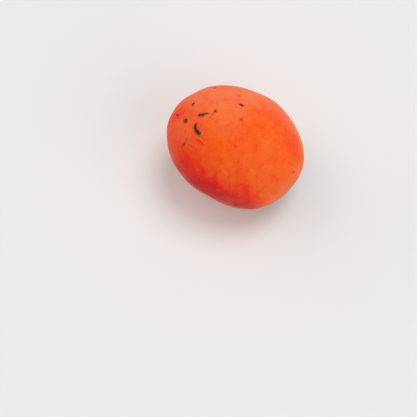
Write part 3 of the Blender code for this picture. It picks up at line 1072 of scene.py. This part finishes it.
def make_calyx():
    inner, outward, share, veins = calyx_sheet()
    normals = grid_normals(inner, outward)
    thick = LEAF_THICKNESS + (LEAF_EDGE_THICKNESS - LEAF_THICKNESS) * share ** 2
    middle = bell(share, 0.42, 3.0)
    thick = thick + LEAF_MIDDLE_SWELL * middle + VEIN_HEIGHT * veins
    outer = inner + normals * thick[..., None]

    axis_in = to_world(np.array([[0.0, 0.0, -(skin_radius(math.pi, 0.0) + CALYX_GAP)]]))
    axis_out = axis_in - np.array(AXIS) * (LEAF_THICKNESS + LEAF_MIDDLE_SWELL)
    points = np.concatenate([inner.reshape(-1, 3), outer.reshape(-1, 3), axis_in, axis_out])
    calyx = mesh_object("persimmon_calyx", points, leaf_faces(), leaf_material())

    ridge = np.concatenate([veins.ravel(), veins.ravel(), [0.0, 0.0]])
    edge = np.clip((share - 0.90) / 0.10, 0.0, 1.0).ravel()
    edge = np.concatenate([edge, edge, [0.0, 0.0]])
    add_attributes(calyx, {"ridge": np.clip(ridge, 0.0, 1.0), "edge": edge})
    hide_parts("calyx")
    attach(calyx, "root")


# The stub of the stem

def stub_point(height, around):
    """A point of the stub's side in its own frame, from the collar up to the cut."""
    collar = (STUB_BASE_RADIUS - STUB_NECK_RADIUS) * bell(height, STUB_COLLAR)
    flare = (STUB_END_RADIUS - STUB_NECK_RADIUS) * (height / STUB_LENGTH) ** 2
    radius = STUB_NECK_RADIUS + collar + flare
    flutes = np.sin(11.0 * around + 0.8 * np.sin(height / (1.4 * MM)))
    flutes = flutes + 0.6 * np.sin(23.0 * around + 1.3)
    radius = radius - STUB_INSET + STUB_FLUTE_HEIGHT * flutes
    rings = np.sin(height / STUB_RING_STEP) * bell(height, STUB_RINGS_LENGTH)
    radius = radius + STUB_RING_HEIGHT * rings
    across = np.stack([radius * np.cos(around), radius * np.sin(around), height], -1)
    lumps = 0.0
    for lump, size, seed in STUB_LUMPS:
        lumps = lumps + soft_noise(across, size * MM, seed) * lump
    radius = radius + MM * (lumps - STUB_LUMP_INSET)
    return np.stack([radius * np.cos(around), radius * np.sin(around), height], -1)


def wood_material(stub_matrix):
    shader = Shader("dry_stem")
    up = Vector(stub_matrix.col[2][:3]).normalized()
    height, flat = shader.from_axis(stub_matrix.translation, up)
    off_axis = shader.vector("LENGTH", flat, out=1)

    squeezed = shader.vector("ADD", flat, shader.scaled(up, shader.times(height, 0.15)))
    fibre = shader.noise(0.5 * MM, 4.0, 0.65, squeezed)
    colour = shader.mix(shader.ramp(fibre, 0.35, 0.65), WOOD_DARK, WOOD)
    blotch = shader.noise(1.9 * MM, 3.0, 0.6)
    colour = shader.mix(shader.ramp(blotch, 0.50, 0.70, 0.0, 0.5), colour, LEAF_GREY)
    # The cut face, with its rings, pith and bark.
    rings = shader.math("SINE", shader.times(off_axis, math.tau / (0.42 * MM)))
    grain = shader.times(shader.ramp(rings, -1.0, 1.0), 0.35)
    face = shader.mix(grain, WOOD_PALE, WOOD)
    pith = shader.ramp(off_axis, 0.75 * MM, 0.45 * MM)
    face = shader.mix(pith, face, WOOD_DARK)
    bark = shader.ramp(off_axis, 2.1 * MM, 2.7 * MM)
    face = shader.mix(bark, face, WOOD)
    colour = shader.mix(shader.attribute("cut"), colour, face)

    shader.surface(colour, shader.ramp(fibre, 0.3, 0.7, 0.65, 0.85), shader.bump(fibre, 0.12 * MM))
    return shader.material


def cut_face(rim):
    """Rows of the dished cut, from its rim inwards, and the pith in its middle."""
    middle = np.array([0.0, 0.0, STUB_LENGTH - STUB_CUT_RISE])
    rows = []
    for ring in range(1, STUB_CUT_RINGS):
        share = 1.0 - ring / STUB_CUT_RINGS
        row = middle + (rim - middle) * share
        dish = STUB_CUT_DISH * (1.0 - share ** 2) + STUB_CUT_ROUGHNESS * soft_noise(row, 0.5 * MM, 43)
        row[:, 2] -= dish
        rows.append(row)
    return np.array(rows), middle - np.array([0.0, 0.0, STUB_PITH_DEPTH])


def make_stub():
    seat = skin_radius(math.pi, 0.0) + STUB_SEAT_GAP
    turned_over = Matrix.Rotation(math.pi, 4, "X")
    stub_matrix = body_matrix() @ Matrix.Translation((0.0, 0.0, -seat)) @ turned_over
    heights = np.linspace(0.0, 1.0, STUB_ROWS)
    around = np.linspace(0.0, math.tau, STUB_COLUMNS, endpoint=False)
    heights, around = np.meshgrid(heights, around, indexing="ij")
    # The cut slants across the stub, so its side is longer on one side than on the other.
    slant = STUB_LENGTH - STUB_CUT_RISE * (1.0 + np.cos(around))
    side = stub_point(heights * slant, around)
    face, pith = cut_face(side[-1])
    rows = np.concatenate([side, face])
    points = np.concatenate([rows.reshape(-1, 3), [pith], [[0.0, 0.0, 0.0]]])
    total = len(rows)
    faces = tube_faces(total, STUB_COLUMNS)
    faces += cap_faces(total * STUB_COLUMNS, (total - 1) * STUB_COLUMNS, STUB_COLUMNS)
    faces += cap_faces(total * STUB_COLUMNS + 1, 0, STUB_COLUMNS, flip=True)
    matrix = np.array(stub_matrix)
    points = points @ matrix[:3, :3].T + matrix[:3, 3]
    stub = mesh_object("persimmon_stem_stub", points, faces, wood_material(stub_matrix))
    cut = np.zeros(len(points))
    cut[STUB_ROWS * STUB_COLUMNS:-1] = 1.0
    add_attributes(stub, {"cut": cut})
    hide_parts("stem_stub")
    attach(stub, "root")


# The studio

def make_floor():
    corners = ((-1.0, -1.0, 0.0), (1.0, -1.0, 0.0), (1.0, 1.0, 0.0), (-1.0, 1.0, 0.0))
    points = FLOOR_HALF_SIDE * np.array(corners)
    shader = Shader("pale_floor")
    shade = shader.noise(0.4, 2.0)
    tone = shader.mix(shader.ramp(shade, 0.2, 0.8, 0.0, 0.06), FLOOR, FLOOR_DIM)
    shader.feed(shader.principled.inputs["Base Color"], tone)
    shader.principled.inputs["Roughness"].default_value = 0.7
    floor = mesh_object("floor", points, [(0, 1, 2, 3)], shader.material)


def soft_light(name, towards, spread, strength, colour):
    """A broad even light from one direction."""
    data = bpy.data.lights.new(name, "SUN")
    data.angle = math.radians(spread)
    data.energy = strength
    data.color = colour
    light = bpy.data.objects.new(name, data)
    light.location = towards
    light.rotation_mode = "QUATERNION"
    light.rotation_quaternion = Vector(towards).to_track_quat("Z", "Y")
    bpy.context.scene.collection.objects.link(light)


def light_studio():
    """A soft key from above, two wide lights from the sides, and a dome that is palest low down."""
    for name, settings in LIGHTS.items():
        soft_light(name, *settings)
    world = bpy.data.worlds.new("studio")
    world.use_nodes = True
    nodes, links = world.node_tree.nodes, world.node_tree.links
    place = nodes.new("ShaderNodeTexCoord")
    split = nodes.new("ShaderNodeSeparateXYZ")
    links.new(place.outputs["Generated"], split.inputs[0])
    rise = nodes.new("ShaderNodeMapRange")
    rise.interpolation_type = "SMOOTHSTEP"
    links.new(split.outputs["Z"], rise.inputs["Value"])
    rise.inputs["From Min"].default_value, rise.inputs["From Max"].default_value = DOME_HEIGHTS
    rise.inputs["To Min"].default_value, rise.inputs["To Max"].default_value = DOME_STRENGTHS
    backdrop = nodes["Background"]
    backdrop.inputs["Color"].default_value = (1.0, 1.0, 1.0, 1.0)
    links.new(rise.outputs[0], backdrop.inputs["Strength"])
    bpy.context.scene.world = world
    bpy.context.scene.view_settings.view_transform = "Standard"


make_fruit()
make_calyx()
make_stub()
make_floor()
light_studio()
